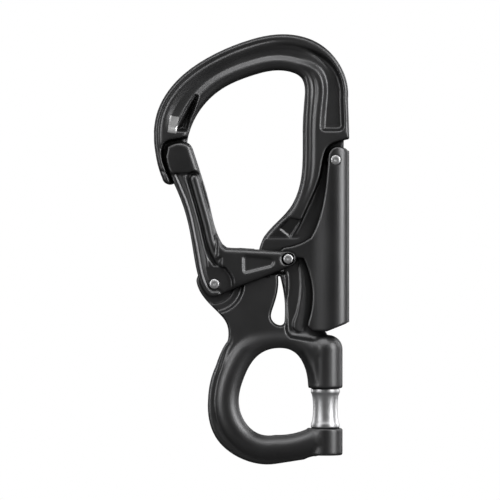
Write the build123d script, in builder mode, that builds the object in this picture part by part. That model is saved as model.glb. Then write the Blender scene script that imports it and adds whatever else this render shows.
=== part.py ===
"""Lanyard-end safety hook: a forged hook frame with a gate that opens inwards, a squeeze
trigger in the back that locks it, and a lanyard eye closed by a screw and a turned spacer.

Millimetres. X to the right, Y away from the front, Z up. The origin is where a lanyard
sits, at the bottom of the eye, in the middle plane. Front and back mirror each other.
"""

import math
import os

from build123d import *

# ---- driving dimensions ---------------------------------------------------------------
crown_height = 154.2  # top of the hook above the lanyard seat
hook_half = 6.0  # half the thickness of the hook and its spine
plate_half = 4.6  # half the thickness of the plate between hook and eye
ring_half = 6.0  # half the thickness of the lanyard ring
web_half = 2.9  # half the thickness of the web that the trigger straddles
band_half = 2.2  # half the thickness where the lock studs sweep past
nose_half = 2.9  # half the thickness of the nose inside the thumb pad
lug_half = 2.6  # half the thickness of the two pivot lugs, between their washers

gate_pivot = (-23.5, 58.25)
lock_point = (4.85, 67.9)
trigger_pivot_height = 105.85
gate_open_angle = 26.0
squeeze_angle = 6.0

washer_thick = 0.55
washer_r = 3.1
side_gap = 0.05  # between a washer and the cheek it guides
cheek_in = lug_half + washer_thick + side_gap  # inner faces of every cheek
gate_cheek = 2.0  # wall of the gate's cheeks
tail_gap = 0.25  # between the trigger's cheeks and the gate's tail outside them
trigger_cheek = 1.5  # wall of the trigger's cheeks near the lock
trigger_half = 6.5  # half the width of the trigger's back
trigger_wall = 1.7  # wall of the trigger's back
palm_round = 2.8  # rounding of the trigger's back, where the palm bears
trigger_back = 28.4  # where the palm bears on the trigger
trigger_foot = 43.5  # lower end of the trigger's back

rivet_r = 1.5
rivet_head = 0.4  # how far each rivet head stands proud
rivet_lip = 0.4  # how far each rivet head overlaps its hole
bush_wall = 0.6
running_fit = 0.05
lug_r = 7.1  # gate lug of the frame
lug_wall = 0.25  # what the trigger's lug leaves round its spring
lug_gap = 0.25  # between the trigger's lug and the trigger's back
spring_slot_half = 1.3
spring_wire_r = 0.4
spring_room = 0.2  # between a spring's coil and its bush

stud_r = 1.45
stud_clear = 0.2  # between a lock stud and the trigger's nose round it
stud_drop = 0.59  # free play of a lock stud above the nose's ledge
ledge_bite = 0.25  # how far the ledge reaches under a lock stud
nose_wall = 2.35  # the trigger's nose beside the lock stud
tail_r = 3.45  # end of the gate's tail round the lock stud
sweep_gap = 0.3  # left beyond everything that swings past
stud_foot_gap = 0.55  # between a lock stud's foot and the sunk band it sweeps
band_spare = 12.0  # degrees of sunk band beyond the lock studs' lowest place
trigger_edge_gap = 0.95  # between a lock stud and the trigger's inner edge once squeezed

eye_gap_low = 2.66
eye_gap_high = 18.13
boss_r = 6.65
screw_x = 19.2
screw_r = 2.5
screw_head_lip = 1.5
screw_head = 3.2
screw_key = 2.5  # across the flats of the hexagonal socket
screw_bury = 12.0  # length of thread in the upper boss
screw_key_depth = 2.0
screw_sink = 0.6  # how far the screw's head sits inside the lower boss
screw_tip_gap = 0.5  # left above the screw's tip
head_gap = 0.1  # round the screw's head
counterbore_run_out = 5.0  # how far the counterbore clears what lies under the lower boss
insert_wall = 1.05
boss_foot = -7.7
boss_dome = 5.6  # rounding of the upper boss's top
spacer_end_r = 5.55
spacer_waist_r = 4.7
spacer_play = 0.05  # at each end of the spacer

channel_depth = 2.6
rim = 2.3  # width of the hook's outer rim
channel_width = 6.6

FRONT = Plane.XZ
bush_r = rivet_r + running_fit + bush_wall
trigger_coil_r = bush_r + spring_room + spring_wire_r
trigger_lug_r = trigger_coil_r + spring_wire_r + lug_wall
trigger_pivot = (
    trigger_back - trigger_wall - trigger_lug_r - lug_gap,
    trigger_pivot_height,
)
ax, az = gate_pivot
bx, bz = lock_point
cx, cz = trigger_pivot
rivet_head_r = rivet_r + rivet_lip
stud_head_r = stud_r + rivet_lip
screw_head_r = screw_r + screw_head_lip
insert_r = screw_r + running_fit + insert_wall
lock_radius = math.dist(gate_pivot, lock_point)
tail_sweep = lock_radius + tail_r
outer_in = cheek_in + trigger_cheek + tail_gap  # inner faces of the gate's tail
lock_angle = math.degrees(math.atan2(bz - az, bx - ax))
band_in = lock_radius - stud_r - 2 * sweep_gap  # the sunk band that the studs sweep
band_out = tail_sweep + sweep_gap
band_end = lock_angle - gate_open_angle - band_spare
os.makedirs("parts", exist_ok=True)


def turned(point, centre, degrees):
    """A point turned about a centre, counter-clockwise as seen from the front."""
    turn = math.radians(degrees)
    dx, dz = point[0] - centre[0], point[1] - centre[1]
    across = dx * math.cos(turn) - dz * math.sin(turn)
    up = dx * math.sin(turn) + dz * math.cos(turn)
    return (centre[0] + across, centre[1] + up)


def about(centre, points):
    """Offsets from a centre made into places."""
    return [(centre[0] + dx, centre[1] + dz) for dx, dz in points]


def polar(centre, radius, degrees):
    turn = math.radians(degrees)
    return (centre[0] + radius * math.cos(turn), centre[1] + radius * math.sin(turn))


def inset(points, distance):
    """A run of points moved to the right of the way it goes."""
    moved = []
    for i, (x, z) in enumerate(points):
        before, after = points[max(i - 1, 0)], points[min(i + 1, len(points) - 1)]
        dx, dz = after[0] - before[0], after[1] - before[1]
        scale = distance / math.hypot(dx, dz)
        moved.append((x + dz * scale, z - dx * scale))
    return moved


def facing(sketch, half):
    """The same outline on a plane that lies half a thickness in front of the middle."""
    return sketch.moved(Location((0, -half, 0)))


def outline(*runs):
    """A flat face from runs of points, each a smooth curve or, for two points, a straight."""
    with BuildSketch(FRONT) as flat:
        with BuildLine():
            last = runs[-1][-1]
            for run in runs:
                points = [last, *run]
                if len(points) == 2:
                    Line(*points)
                else:
                    Spline(*points)
                last = run[-1]
        make_face()
    return flat.sketch


def rows(sketch, low, high):
    """Both layers of an outline between two distances from the middle plane."""
    deep = high - low
    front = extrude(facing(sketch, low), amount=deep, dir=(0, -1, 0), mode=Mode.PRIVATE)
    return [front, front.mirror(Plane.XZ)]


def disc(centre, radius):
    with BuildSketch(FRONT) as flat:
        with Locations(centre):
            Circle(radius)
    return flat.sketch


def pin_hole(centre, radius, length):
    """A solid rod across the middle plane, for cutting a hole or making a pin."""
    return extrude(disc(centre, radius), amount=length / 2, both=True, mode=Mode.PRIVATE)


def post(radius, low, high):
    """A solid round post on the screw's axis."""
    with BuildSketch(Plane.XY.offset(low)) as flat:
        with Locations((screw_x, 0)):
            Circle(radius)
    return extrude(flat.sketch, amount=high - low, mode=Mode.PRIVATE)


# ---- outlines ---------------------------------------------------------------------------
top = crown_height
nose_side = [(-44.7, az + 43.6), (-45.9, az + 48.4), (-46.8, az + 56), (-45.6, az + 65.6)]
crown = [
    (-37.9, top - 17.8),
    (-26.1, top - 9.0),
    (-12.9, top - 3.1),
    (4.5, top),
    (17.0, top - 3.7),
    (25.0, top - 12.2),
    (27.9, top - 25),
]
shoulder = (28.4, cz + 8.2)
web_stop = trigger_back - trigger_wall - lug_gap - 0.15  # the web stops short of the trigger's back
ridge = about(
    trigger_pivot,
    [(1.6, 7.3), (-2.6, 5.2), (-4.5, 1.4), (-5.6, -4.6), (-8.9, -14.0), (-13.5, -24.2)],
)
spine_foot = (7.0, bz + 9.2)
basket = [
    (-4.4, bz + 8.6),
    (-1.1, bz + 12.5),
    (5.5, bz + 19.5),
    (9.4, bz + 28.6),
    (10.5, bz + 42),
    (11.0, top - 27),
    (9.8, top - 16.3),
    (4.0, top - 13.8),
    (-8.4, top - 15.4),
    (-22.0, top - 21.7),
    (-30.5, top - 31.2),
]
basket_end = (-33.9, az + 55)
nose_inside = [(-34.9, az + 48), (-37.0, az + 41)]
nose_knob = [(-38.5, az + 38.9), (-40.4, az + 38.2), (-42.3, az + 38.7), (-43.6, az + 40.7)]

hook_face = outline(
    nose_side + crown,
    [shoulder],
    ridge,
    [spine_foot],
    [basket[0]],
    basket[1:] + [basket_end],
    nose_inside,
    nose_knob,
)
pad_pocket = outline(
    [(-39.6, az + 36)],
    [(-41.6, az + 42.4), (-43.2, az + 46.8), (-43.5, az + 52)],
    [(-41.9, az + 54.6), (-38.9, az + 55.5), (-35.5, az + 56.2)],
    [(-20, az + 57.5)],
    [(-20, az + 36)],
)

neck_left = [
    (-28.3, az - 4.2),
    (-22.7, az - 10.4),
    (-18.9, az - 15.1),
    (-18.5, 36),
    (-23.1, 26.4),
    (-26.0, 13.5),
    (-23.1, -0.6),
    (-13.5, -8.8),
    (0, -11.0),
]
ring_low = ([(11, -9.3)], [(14.8, boss_foot + 0.1)], [(screw_x, boss_foot + 0.1)])
plate_web = outline(
    neck_left,
    *ring_low,
    [(screw_x + 4, 18)],
    [(screw_x + 4, 34)],
    [(screw_x + 2.2, 37)],
    [(19.4, 39.5)],
    [(17.8, 43.0)],
    [(19.2, cz - 46)],
    [(22.4, cz - 20)],
    [(cx + trigger_lug_r - 0.3, cz)],
    [(web_stop, cz + 2.4)],
    [(web_stop, shoulder[1] + 1)],
    [(cx, shoulder[1] + 1)],
    [(cx - 4.5, cz + 4.5)],
    [(spine_foot[0] - 1, spine_foot[1] + 1)],
    [basket[0]],
    [(-5.6, bz + 6), (-6.6, bz + 1.5)],
    [(-3.2, az + 3.0)],
    [polar(gate_pivot, lug_r, 55)],
    [polar(gate_pivot, lug_r, 100), polar(gate_pivot, lug_r, 140), polar(gate_pivot, lug_r, 170)],
)
plate_face = outline(
    neck_left,
    *ring_low,
    [(screw_x + 4, 20)],
    [(screw_x + 1, 35.0)],
    [(11.0, 36.2), (6.2, 37.6), (4.2, 41.0)],
    [polar(gate_pivot, band_in, -12)],
    [polar(gate_pivot, band_in, 0), polar(gate_pivot, band_in, 8.2)],
    [(-5.0, az + 4.0)],
    [(-7.0, az + 3.3)],
    [polar(gate_pivot, lug_r, 55)],
    [polar(gate_pivot, lug_r, 100), polar(gate_pivot, lug_r, 140), polar(gate_pivot, lug_r, 170)],
)
ring_face = outline(
    [(-19.0, 35.5), (-23.1, 26.4), (-26.0, 13.5), (-23.1, -0.6), (-13.5, -8.8), (0, -11.0)],
    *ring_low,
    [(screw_x, 30)],
    [(15.5, 36.4)],
    [(4, 38.2), (-8.5, 41.5)],
)
eye_face = outline(
    [(-7.3, 30.2), (-12.0, 22.5), (-13.9, 10.5), (-9.6, 2.5), (0, 0)],
    [(6, 0.4), (13.1, eye_gap_low)],
    [(screw_x + boss_r + 3, eye_gap_low)],
    [(screw_x + boss_r + 3, eye_gap_high)],
    [(14.2, eye_gap_high)],
    [(12.9, 21.5), (9.6, 29.5), (0, 33.5)],
)
teardrop_face = outline(
    [
        (1.1, 58.0),
        (0.7, 54.9),
        (-0.4, 50.8),
        (-1.5, 47.5),
        (-1.7, 45.4),
        (-0.7, 43.5),
        (1.0, 42.5),
    ],
    [(2.7, 42.5), (3.5, 43.7)],
    [(3.65, 49.3), (3.4, 53.1), (2.8, 56.8), (1.8, 61.2)],
    [(1.0, 61.2)],
)

gate_left = [
    (-42.4, az + 48.6),
    (-40.9, az + 43),
    (-37.8, az + 35.8),
    (-34.7, az + 27.4),
    (-32.0, az + 14.7),
    (-30.1, az + 4.3),
    (-28.1, az - 1.4),
    (-25.4, az - 4.6),
    (-22.8, az - 4.7),
]
tail_low = polar(lock_point, tail_r, -70)
tail_end = polar(lock_point, tail_r, 0)
tail_top = polar(lock_point, tail_r, 75)
bend = (-20.4, bz + 5.7)
gate_right = [
    (-23.6, az + 22.9),
    (-25.5, az + 31.1),
    (-28.0, az + 40),
    (-31.6, az + 51.2),
]
gate_crown = [(-34.6, az + 54.6), (-38.9, az + 54.1), (-41.6, az + 52.9)]
gate_face = outline(
    gate_left[1:],
    [(-7.1, az + 1.15)],
    [tail_low],
    [polar(lock_point, tail_r, -35), tail_end, polar(lock_point, tail_r, 40), tail_top],
    [(bend[0] + 1.5, bz + 4.5)],
    [bend],
    gate_right,
    gate_crown,
    [gate_left[0]],
)
finger_web = outline(
    gate_right,
    [(gate_right[-1][0] - 1.3, gate_right[-1][1] + 0.6)],
    [(-33.4, az + 51.0)],
    [(-33.6, az + 48), (-30.2, az + 40), (-27.6, az + 31.1), (-25.7, az + 22.9), (-23.2, bz + 6.2)],
    [(bend[0] - 1.2, bz + 3.4)],
    [(bend[0] + 2, bz + 2.4)],
    [(bend[0] + 1.6, bz + 4.5)],
    [bend],
)
arm_web_end = -8.0
arm_web = outline(
    [(bend[0], bz + 4.4)],
    [(bend[0] - 0.5, bz + 2.4)],
    [(arm_web_end, bz + 2.4)],
    [(arm_web_end, bz + 3.9)],
)
arm_zone = outline(
    [(-21, az - 12)],
    [(bx + 12, az - 12)],
    [(bx + 12, bz + 12)],
    [(-21, bz + 12)],
)
finger_zone = outline(
    [(-60, az - 12)],
    [(-20.5, az - 12)],
    [(-20.5, az + 70)],
    [(-60, az + 70)],
)

# The trigger's inner edge lies on a circle round the gate's pivot once it is squeezed.
squeezed_centre = turned(gate_pivot, trigger_pivot, squeeze_angle)
cheek_edge = lock_radius + stud_r + trigger_edge_gap
stud_room = stud_r + stud_clear
down = turned((0, -1), (0, 0), lock_angle)
ledge = (
    bx + down[0] * (stud_r + stud_drop) + down[1] * (stud_r - ledge_bite),
    bz + down[1] * (stud_r + stud_drop) - down[0] * (stud_r - ledge_bite),
)
nose_left = bx - stud_room - nose_wall
tip = (12.3, trigger_foot - 1.6)
cheek_face = outline(
    [(trigger_back, trigger_foot)],
    [(19.7, trigger_foot - 3.5)],
    [(14.5, trigger_foot - 3.4)],
    [tip],
    [polar(squeezed_centre, cheek_edge, -18)],
    [polar(squeezed_centre, cheek_edge, -6),
     polar(squeezed_centre, cheek_edge, 6),
     polar(squeezed_centre, cheek_edge, 17),
     polar(squeezed_centre, cheek_edge, 26.5)],
    [polar(lock_point, stud_room, 20)],
    [polar(lock_point, stud_room, 60), polar(lock_point, stud_room, 120),
     polar(lock_point, stud_room, 185)],
    [(ledge[0] - 1.1, ledge[1] + 0.5)],
    [ledge],
    [(ledge[0] - 0.2, ledge[1] - 1.3)],
    [(nose_left + 0.7, ledge[1] - 1.5)],
    [(nose_left, bz - 1.5)],
    [(nose_left + 0.2, bz + 2.7)],
    [(bx - 1.5, bz + 4.4)],
    [(bx + 3.8, bz + 5.6), (bx + 8.6, bz + 8.2)],
    about(trigger_pivot, [(-5.3, -18), (-3.7, -8), (-2.7, 2.4)]),
    about(trigger_pivot, [(-1.4, 4.3), (1.5, 5.2)]),
    [(trigger_back - trigger_wall, cz + 4.6)],
    [(trigger_back, cz + 3.7)],
)
body_zone = outline(
    [(trigger_back, trigger_foot)],
    [(19.7, trigger_foot - 3.5)],
    [(18.4, trigger_foot + 3)],
    [(20.6, trigger_foot + 22), (20.9, cz - 25), (20.9, cz)],
    [(cx - 1, cz + 3.6)],
    [(trigger_back - 1, cz + 3.7)],
    [(trigger_back, cz + 2.7)],
)

# ---- frame ------------------------------------------------------------------------------
channel_path = [nose_side[-1]] + crown + [(28.3, cz + 14)]
channel_outer = inset(channel_path, rim)
channel_inner = inset(channel_path, rim + channel_width)[::-1]
channel_face = outline(
    channel_outer[1:],
    [channel_inner[0]],
    channel_inner[1:],
    [channel_outer[0]],
)

boss_top = trigger_foot - 3.5 - 1.4
insert_top = eye_gap_high + screw_bury
screw_foot = boss_foot + screw_sink
counterbore_top = screw_foot + screw_head

with BuildPart() as hook:
    extrude(hook_face, amount=hook_half, both=True)
    for layer in rows(pad_pocket, nose_half, hook_half + 1):
        add(layer, mode=Mode.SUBTRACT)
    for layer in rows(channel_face, hook_half - channel_depth, hook_half + 1):
        add(layer, mode=Mode.SUBTRACT)

with BuildPart() as ring:
    extrude(ring_face - eye_face, amount=ring_half, both=True)
    fillet(ring.edges().filter_by(Axis.Y, reverse=True), radius=2.0)

with BuildPart() as boss:
    add(post(boss_r, boss_foot, boss_top))
    fillet(boss.edges().group_by(Axis.Z)[-1], radius=boss_dome)
    fillet(boss.edges().group_by(Axis.Z)[0], radius=0.8)

# The gate's arm and web swing down into this notch above the gate lug.
notch_r = math.dist(gate_pivot, (arm_web_end, bz + 3.9)) + sweep_gap
gate_notch = outline(
    [polar(gate_pivot, lug_r + 0.3, 75)],
    [polar(gate_pivot, lug_r + 0.4, 45)],
    [polar(gate_pivot, notch_r, 8.5)],
    [polar(gate_pivot, notch_r, 20), polar(gate_pivot, notch_r, 35)],
    [polar(gate_pivot, notch_r, 80)],
)
# The trigger's nose swings left above the plate.
nose_room = outline(
    [(bx - 9.0, bz - 5.6)],
    [(bx + 8, bz - 5.6)],
    [(bx + 8, bz + 8.2)],
    [(bx - 9.0, bz + 8.2)],
)

stud_band = outline(
    [polar(gate_pivot, band_in, angle) for angle in (-5, 10, 25)],
    [polar(gate_pivot, band_out, 25)],
    [polar(gate_pivot, band_out, angle) for angle in (10, -5, band_end)],
    [polar(gate_pivot, band_in, band_end)],
)

with BuildPart() as frame:
    add(hook.part)
    extrude(plate_web, amount=web_half, both=True)
    extrude(plate_face, amount=plate_half, both=True)
    for layer in rows(disc(gate_pivot, 11.0), web_half, plate_half + 1):
        add(layer, mode=Mode.SUBTRACT)
    for layer in rows(nose_room, web_half, plate_half + 0.2):
        add(layer, mode=Mode.SUBTRACT)
    add(ring.part)
    add(boss.part)
    for layer in rows(stud_band, band_half, web_half + 0.5):
        add(layer, mode=Mode.SUBTRACT)
    extrude(gate_notch, amount=hook_half + 1, both=True, mode=Mode.SUBTRACT)
    extrude(eye_face, amount=boss_r + 1, both=True, mode=Mode.SUBTRACT)
    extrude(teardrop_face, amount=plate_half + 1, both=True, mode=Mode.SUBTRACT)
    for centre, reach in ((gate_pivot, lug_r + 0.5), (trigger_pivot, trigger_lug_r + 0.3)):
        for layer in rows(disc(centre, reach), lug_half, hook_half + 1):
            add(layer, mode=Mode.SUBTRACT)
        add(pin_hole(centre, bush_r, 20), mode=Mode.SUBTRACT)
    counterbore_foot = boss_foot - counterbore_run_out
    add(post(screw_head_r + head_gap, counterbore_foot, counterbore_top), mode=Mode.SUBTRACT)
    add(post(screw_r + running_fit, boss_foot, insert_top + 1), mode=Mode.SUBTRACT)
    add(post(insert_r, eye_gap_high, insert_top), mode=Mode.SUBTRACT)
    # slots for the two torsion springs and their legs
    with BuildSketch(FRONT):
        with Locations(gate_pivot):
            Circle(4.6)
        with Locations((ax + 3.9, az - 3.6)):
            Rectangle(1.6, 10, rotation=10)
        with BuildLine():
            leg_room = about(gate_pivot, [(0, 0), (6.4, 13), (21, 5.2), (3, -2.5)])
            Polyline(*leg_room, close=True)
        make_face()
        with Locations(trigger_pivot):
            Circle(trigger_lug_r + 0.5)
        with Locations((cx - 0.2, cz - 7)):
            Rectangle(10.2, 14)
    extrude(amount=spring_slot_half, both=True, mode=Mode.SUBTRACT)
frame.part.label = "frame"

# ---- gate -------------------------------------------------------------------------------
hub_r = 7.3  # the inner edge of the step from the gate's low cheeks to its high arm
joggle_r = 9.6  # the outer edge of that step
bend_zone = outline([(-22.5, az + 10)], [(-19, az + 10)], [(-19, bz + 9)], [(-22.5, bz + 9)])
tail_levels = (gate_face & arm_zone) - disc(gate_pivot, hub_r)
low_levels = (gate_face & finger_zone) + (gate_face & disc(gate_pivot, joggle_r))
pad_face = gate_face & outline(
    [(-60, az + 41.4)], [(0, az + 44.4)], [(0, az + 70)], [(-60, az + 70)]
)
cheek_out = cheek_in + gate_cheek
tail_out = outer_in + gate_cheek
finger_recess = outline(
    [(-38.6, az + 40.0)],
    [(-34.9, az + 31), (-31.6, az + 20.5), (-29.2, az + 9.5)],
    [(-25.6, az + 10.5)],
    [(-27.2, az + 22), (-31.4, az + 40.6)],
)
arm_pocket = outline(
    [(-12.3, bz - 4.4)],
    [(-11.6, bz - 5.3)],
    [(-1.9, bz - 2.9)],
    [(-0.7, bz - 1.2), (-1.9, bz + 0.2)],
    [(-11.6, bz + 1.2)],
    [(-12.3, bz + 0.6)],
)

with BuildPart() as gate:
    for layer in rows(low_levels, cheek_in, cheek_out):
        add(layer)
    for layer in rows(tail_levels, outer_in, tail_out):
        add(layer)
    for joined in (gate_face & disc(gate_pivot, joggle_r) & tail_levels, gate_face & bend_zone):
        for layer in rows(joined, cheek_in, tail_out):
            add(layer)
    for layer in rows(pad_face, cheek_in, cheek_out + 0.9):
        add(layer)
    extrude(finger_web, amount=cheek_in + 0.1, both=True)
    extrude(arm_web, amount=outer_in + 0.1, both=True)
    for layer in rows(finger_recess, cheek_out - 0.8, cheek_out + 2):
        add(layer, mode=Mode.SUBTRACT)
    for layer in rows(arm_pocket, tail_out - 0.8, tail_out + 1):
        add(layer, mode=Mode.SUBTRACT)
    add(pin_hole(gate_pivot, rivet_r, 30), mode=Mode.SUBTRACT)
    add(pin_hole(lock_point, stud_r, 30), mode=Mode.SUBTRACT)
gate.part.label = "gate"

# ---- trigger ----------------------------------------------------------------------------
thin_out = cheek_in + trigger_cheek
with BuildPart() as trigger:
    for layer in rows(cheek_face, cheek_in, thin_out):
        add(layer)
    for layer in rows(body_zone, cheek_in, trigger_half):
        add(layer)
    with BuildSketch(FRONT):
        with Locations((trigger_back - trigger_wall / 2, (trigger_foot + cz + 3.7) / 2)):
            Rectangle(trigger_wall, cz + 3.7 - trigger_foot)
    extrude(amount=trigger_half, both=True)
    with BuildSketch(Plane.XY.offset(trigger_foot - 10)) as palm:
        with Locations((trigger_back - 30, 0)):
            Rectangle(60, 2 * trigger_half)
        fillet(palm.vertices().group_by(Axis.X)[-1], radius=palm_round)
    extrude(amount=cz - trigger_foot + 30, mode=Mode.INTERSECT)
    add(pin_hole(trigger_pivot, rivet_r, 30), mode=Mode.SUBTRACT)
trigger.part.label = "trigger"


# ---- pivots -----------------------------------------------------------------------------
def rivet(centre, face):
    """A rivet with a low domed head on each face, set through both cheeks."""
    with BuildPart() as pin:
        add(pin_hole(centre, rivet_r, 2 * face))
        for layer in rows(disc(centre, rivet_head_r), face, face + rivet_head):
            add(layer)
        heads = pin.edges().filter_by(GeomType.CIRCLE).group_by(Axis.Y)
        fillet(heads[0] + heads[-1], radius=rivet_head * 0.7)
    return pin.part


def bush(centre):
    with BuildPart() as sleeve:
        add(pin_hole(centre, bush_r, 2 * lug_half))
        add(pin_hole(centre, rivet_r + running_fit, 20), mode=Mode.SUBTRACT)
    return sleeve.part


def washer(centre, side):
    with BuildPart() as ring:
        extrude(facing(disc(centre, washer_r), lug_half), amount=washer_thick)
        add(pin_hole(centre, rivet_r + 2 * running_fit, 20), mode=Mode.SUBTRACT)
        if side == "back":
            mirror(about=Plane.XZ, mode=Mode.REPLACE)
    return ring.part


def stud(side):
    """A lock stud riveted into one cheek of the gate's tail."""
    with BuildPart() as pin:
        foot = band_half + stud_foot_gap
        extrude(facing(disc(lock_point, stud_r), foot), amount=tail_out - foot)
        extrude(facing(disc(lock_point, stud_head_r), tail_out), amount=rivet_head)
        fillet(pin.edges().group_by(Axis.Y)[0], radius=rivet_head * 0.7)
        if side == "back":
            mirror(about=Plane.XZ, mode=Mode.REPLACE)
    return pin.part


def torsion_spring(centre, coil_r, wire_r, legs):
    """A coil of two turns with a straight leg from each: (side it leaves, angle, length)."""
    pitch = 0.85 * wire_r
    with BuildPart() as spring:
        with BuildSketch(Plane.XY.offset(centre[1])):
            with Locations((centre[0] + coil_r, -pitch), (centre[0] + coil_r, pitch)):
                Circle(wire_r)
        revolve(axis=Axis((centre[0], 0, centre[1]), (0, 1, 0)))
        for (side, angle, length), level in zip(legs, (-pitch, pitch)):
            along = (math.cos(math.radians(angle)), 0, math.sin(math.radians(angle)))
            start = polar(centre, coil_r, angle + 90 * side)
            back = (start[0] - along[0] * wire_r, level, start[1] - along[2] * wire_r)
            with BuildSketch(Plane(origin=back, z_dir=along)):
                Circle(0.95 * wire_r)
            extrude(amount=length + wire_r)
    return spring.part


pieces = {
    "gate_pivot_rivet": rivet(gate_pivot, cheek_out),
    "trigger_pivot_rivet": rivet(trigger_pivot, trigger_half),
    "gate_pivot_bush": bush(gate_pivot),
    "trigger_pivot_bush": bush(trigger_pivot),
    "gate_return_spring": torsion_spring(
        gate_pivot, 3.3, spring_wire_r, ((-1, 62, 14.7), (1, -80, 7.5))
    ),
    "trigger_return_spring": torsion_spring(
        trigger_pivot, trigger_coil_r, spring_wire_r, ((1, -88, 11.0), (-1, -100, 11.0))
    ),
}
for side in ("front", "back"):
    pieces["gate_washer_" + side] = washer(gate_pivot, side)
    pieces["trigger_washer_" + side] = washer(trigger_pivot, side)
    pieces["lock_stud_" + side] = stud(side)

# ---- eye closure ------------------------------------------------------------------------
with BuildPart() as screw:
    add(post(screw_head_r, screw_foot, counterbore_top))
    chamfer(screw.edges().group_by(Axis.Z)[0], length=0.4)
    add(post(screw_r, counterbore_top, insert_top - screw_tip_gap))
    with BuildSketch(Plane.XY.offset(screw_foot)):
        with Locations((screw_x, 0)):
            RegularPolygon(screw_key / math.sqrt(3), 6)
    extrude(amount=screw_key_depth, mode=Mode.SUBTRACT)

with BuildPart() as insert:
    add(post(insert_r, eye_gap_high, insert_top))
    add(post(screw_r + running_fit, eye_gap_high, insert_top), mode=Mode.SUBTRACT)

spacer_low = eye_gap_low + spacer_play
spacer_high = eye_gap_high - spacer_play
spacer_mid = (spacer_low + spacer_high) / 2
collar = 1.8
with BuildPart() as spacer:
    with BuildSketch(FRONT):
        with BuildLine():
            bore = screw_x - screw_r - running_fit
            rim_x = screw_x - spacer_end_r
            waist_x = screw_x - spacer_waist_r
            Polyline((rim_x, spacer_high - collar), (rim_x, spacer_high), (bore, spacer_high),
                     (bore, spacer_low), (rim_x, spacer_low), (rim_x, spacer_low + collar))
            ThreePointArc((rim_x, spacer_low + collar), (waist_x, spacer_mid),
                          (rim_x, spacer_high - collar))
        make_face()
    revolve(axis=Axis((screw_x, 0, 0), (0, 0, 1)))

pieces["eye_screw"] = screw.part
pieces["eye_thread_insert"] = insert.part
pieces["eye_spacer"] = spacer.part
pieces["frame"] = frame.part
pieces["gate"] = gate.part
pieces["trigger"] = trigger.part
for name, piece in pieces.items():
    piece.label = name
    export_step(piece, f"parts/{name}.step")
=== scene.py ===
"""Looks for the auto-locking lanyard hook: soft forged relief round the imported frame.

The forged frame, the gate and the trigger are carved from distance fields. Their outlines and
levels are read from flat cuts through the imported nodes, so each piece follows its node. Lengths
inside the fields are millimetres; meshes are metres.
"""

import math

import bpy
import numpy as np
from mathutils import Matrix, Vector


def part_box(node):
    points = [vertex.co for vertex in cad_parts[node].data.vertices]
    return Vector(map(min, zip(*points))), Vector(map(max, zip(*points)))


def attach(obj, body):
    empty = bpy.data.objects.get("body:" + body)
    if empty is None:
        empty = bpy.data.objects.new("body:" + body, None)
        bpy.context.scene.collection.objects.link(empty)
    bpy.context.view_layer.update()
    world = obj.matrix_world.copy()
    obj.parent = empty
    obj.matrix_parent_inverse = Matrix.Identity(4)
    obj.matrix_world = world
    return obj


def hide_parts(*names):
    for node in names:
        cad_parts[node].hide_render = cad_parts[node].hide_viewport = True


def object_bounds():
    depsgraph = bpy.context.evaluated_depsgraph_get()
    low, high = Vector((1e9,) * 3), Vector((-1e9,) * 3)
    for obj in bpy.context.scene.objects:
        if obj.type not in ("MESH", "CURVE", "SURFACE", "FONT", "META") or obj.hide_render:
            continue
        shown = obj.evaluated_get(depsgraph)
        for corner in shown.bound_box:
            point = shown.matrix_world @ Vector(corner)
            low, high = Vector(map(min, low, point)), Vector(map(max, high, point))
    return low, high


MM = 0.001
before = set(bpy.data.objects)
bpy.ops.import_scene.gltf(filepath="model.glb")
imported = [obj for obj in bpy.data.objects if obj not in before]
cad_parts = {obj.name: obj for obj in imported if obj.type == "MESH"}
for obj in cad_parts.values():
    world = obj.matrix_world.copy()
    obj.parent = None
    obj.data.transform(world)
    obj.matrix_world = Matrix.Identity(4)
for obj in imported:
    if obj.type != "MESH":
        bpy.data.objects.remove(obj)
cad_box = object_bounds()

# ---- distance fields --------------------------------------------------------------------


def node_triangles(name):
    """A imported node's triangles in millimetres, as an array of (triangle, corner, axis)."""
    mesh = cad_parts[name].data
    mesh.calc_loop_triangles()
    corners = np.empty(len(mesh.loop_triangles) * 3, np.int32)
    mesh.loop_triangles.foreach_get("vertices", corners)
    places = np.empty(len(mesh.vertices) * 3, np.float64)
    mesh.vertices.foreach_get("co", places)
    return (places.reshape(-1, 3) / MM)[corners].reshape(-1, 3, 3)


def flat_cut(triangles, depth):
    """Segments (start, end) in X and Z where the node meets the plane Y = -depth."""
    level = triangles[:, :, 1] + depth
    starts, ends = [], []
    for one, two, three in ((0, 1, 2), (1, 2, 0), (2, 0, 1)):
        lone = (level[:, one] > 0) != (level[:, two] > 0)
        lone &= (level[:, two] > 0) == (level[:, three] > 0)
        tri, side = triangles[lone], level[lone]
        for other, store in ((two, starts), (three, ends)):
            part = side[:, one] / (side[:, one] - side[:, other])
            point = tri[:, one] + part[:, None] * (tri[:, other] - tri[:, one])
            store.append(point[:, (0, 2)])
    return np.concatenate(starts), np.concatenate(ends)


def short_pieces(starts, ends, longest=0.6):
    """Segments cut into pieces no longer than a limit."""
    step = ends - starts
    count = np.maximum(np.ceil(np.hypot(*step.T) / longest).astype(int), 1)
    which = np.repeat(np.arange(len(starts)), count)
    order = np.arange(len(which)) - np.repeat(np.cumsum(count) - count, count)
    low = starts[which] + step[which] * (order / count[which])[:, None]
    high = starts[which] + step[which] * ((order + 1) / count[which])[:, None]
    return low, high


def smooth_curve(points, steps=6):
    """A Catmull-Rom curve through points."""
    places = np.array([points[0], *points, points[-1]], float)
    made = [places[1]]
    for a, b, c, d in zip(places, places[1:], places[2:], places[3:]):
        for step in range(1, steps + 1):
            t = step / steps
            made.append(
                b
                + 0.5 * t * (c - a)
                + t * t * (a - 2.5 * b + 2 * c - 0.5 * d)
                + t**3 * (1.5 * b - 1.5 * c + 0.5 * d - 0.5 * a)
            )
    return np.array(made)


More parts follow.
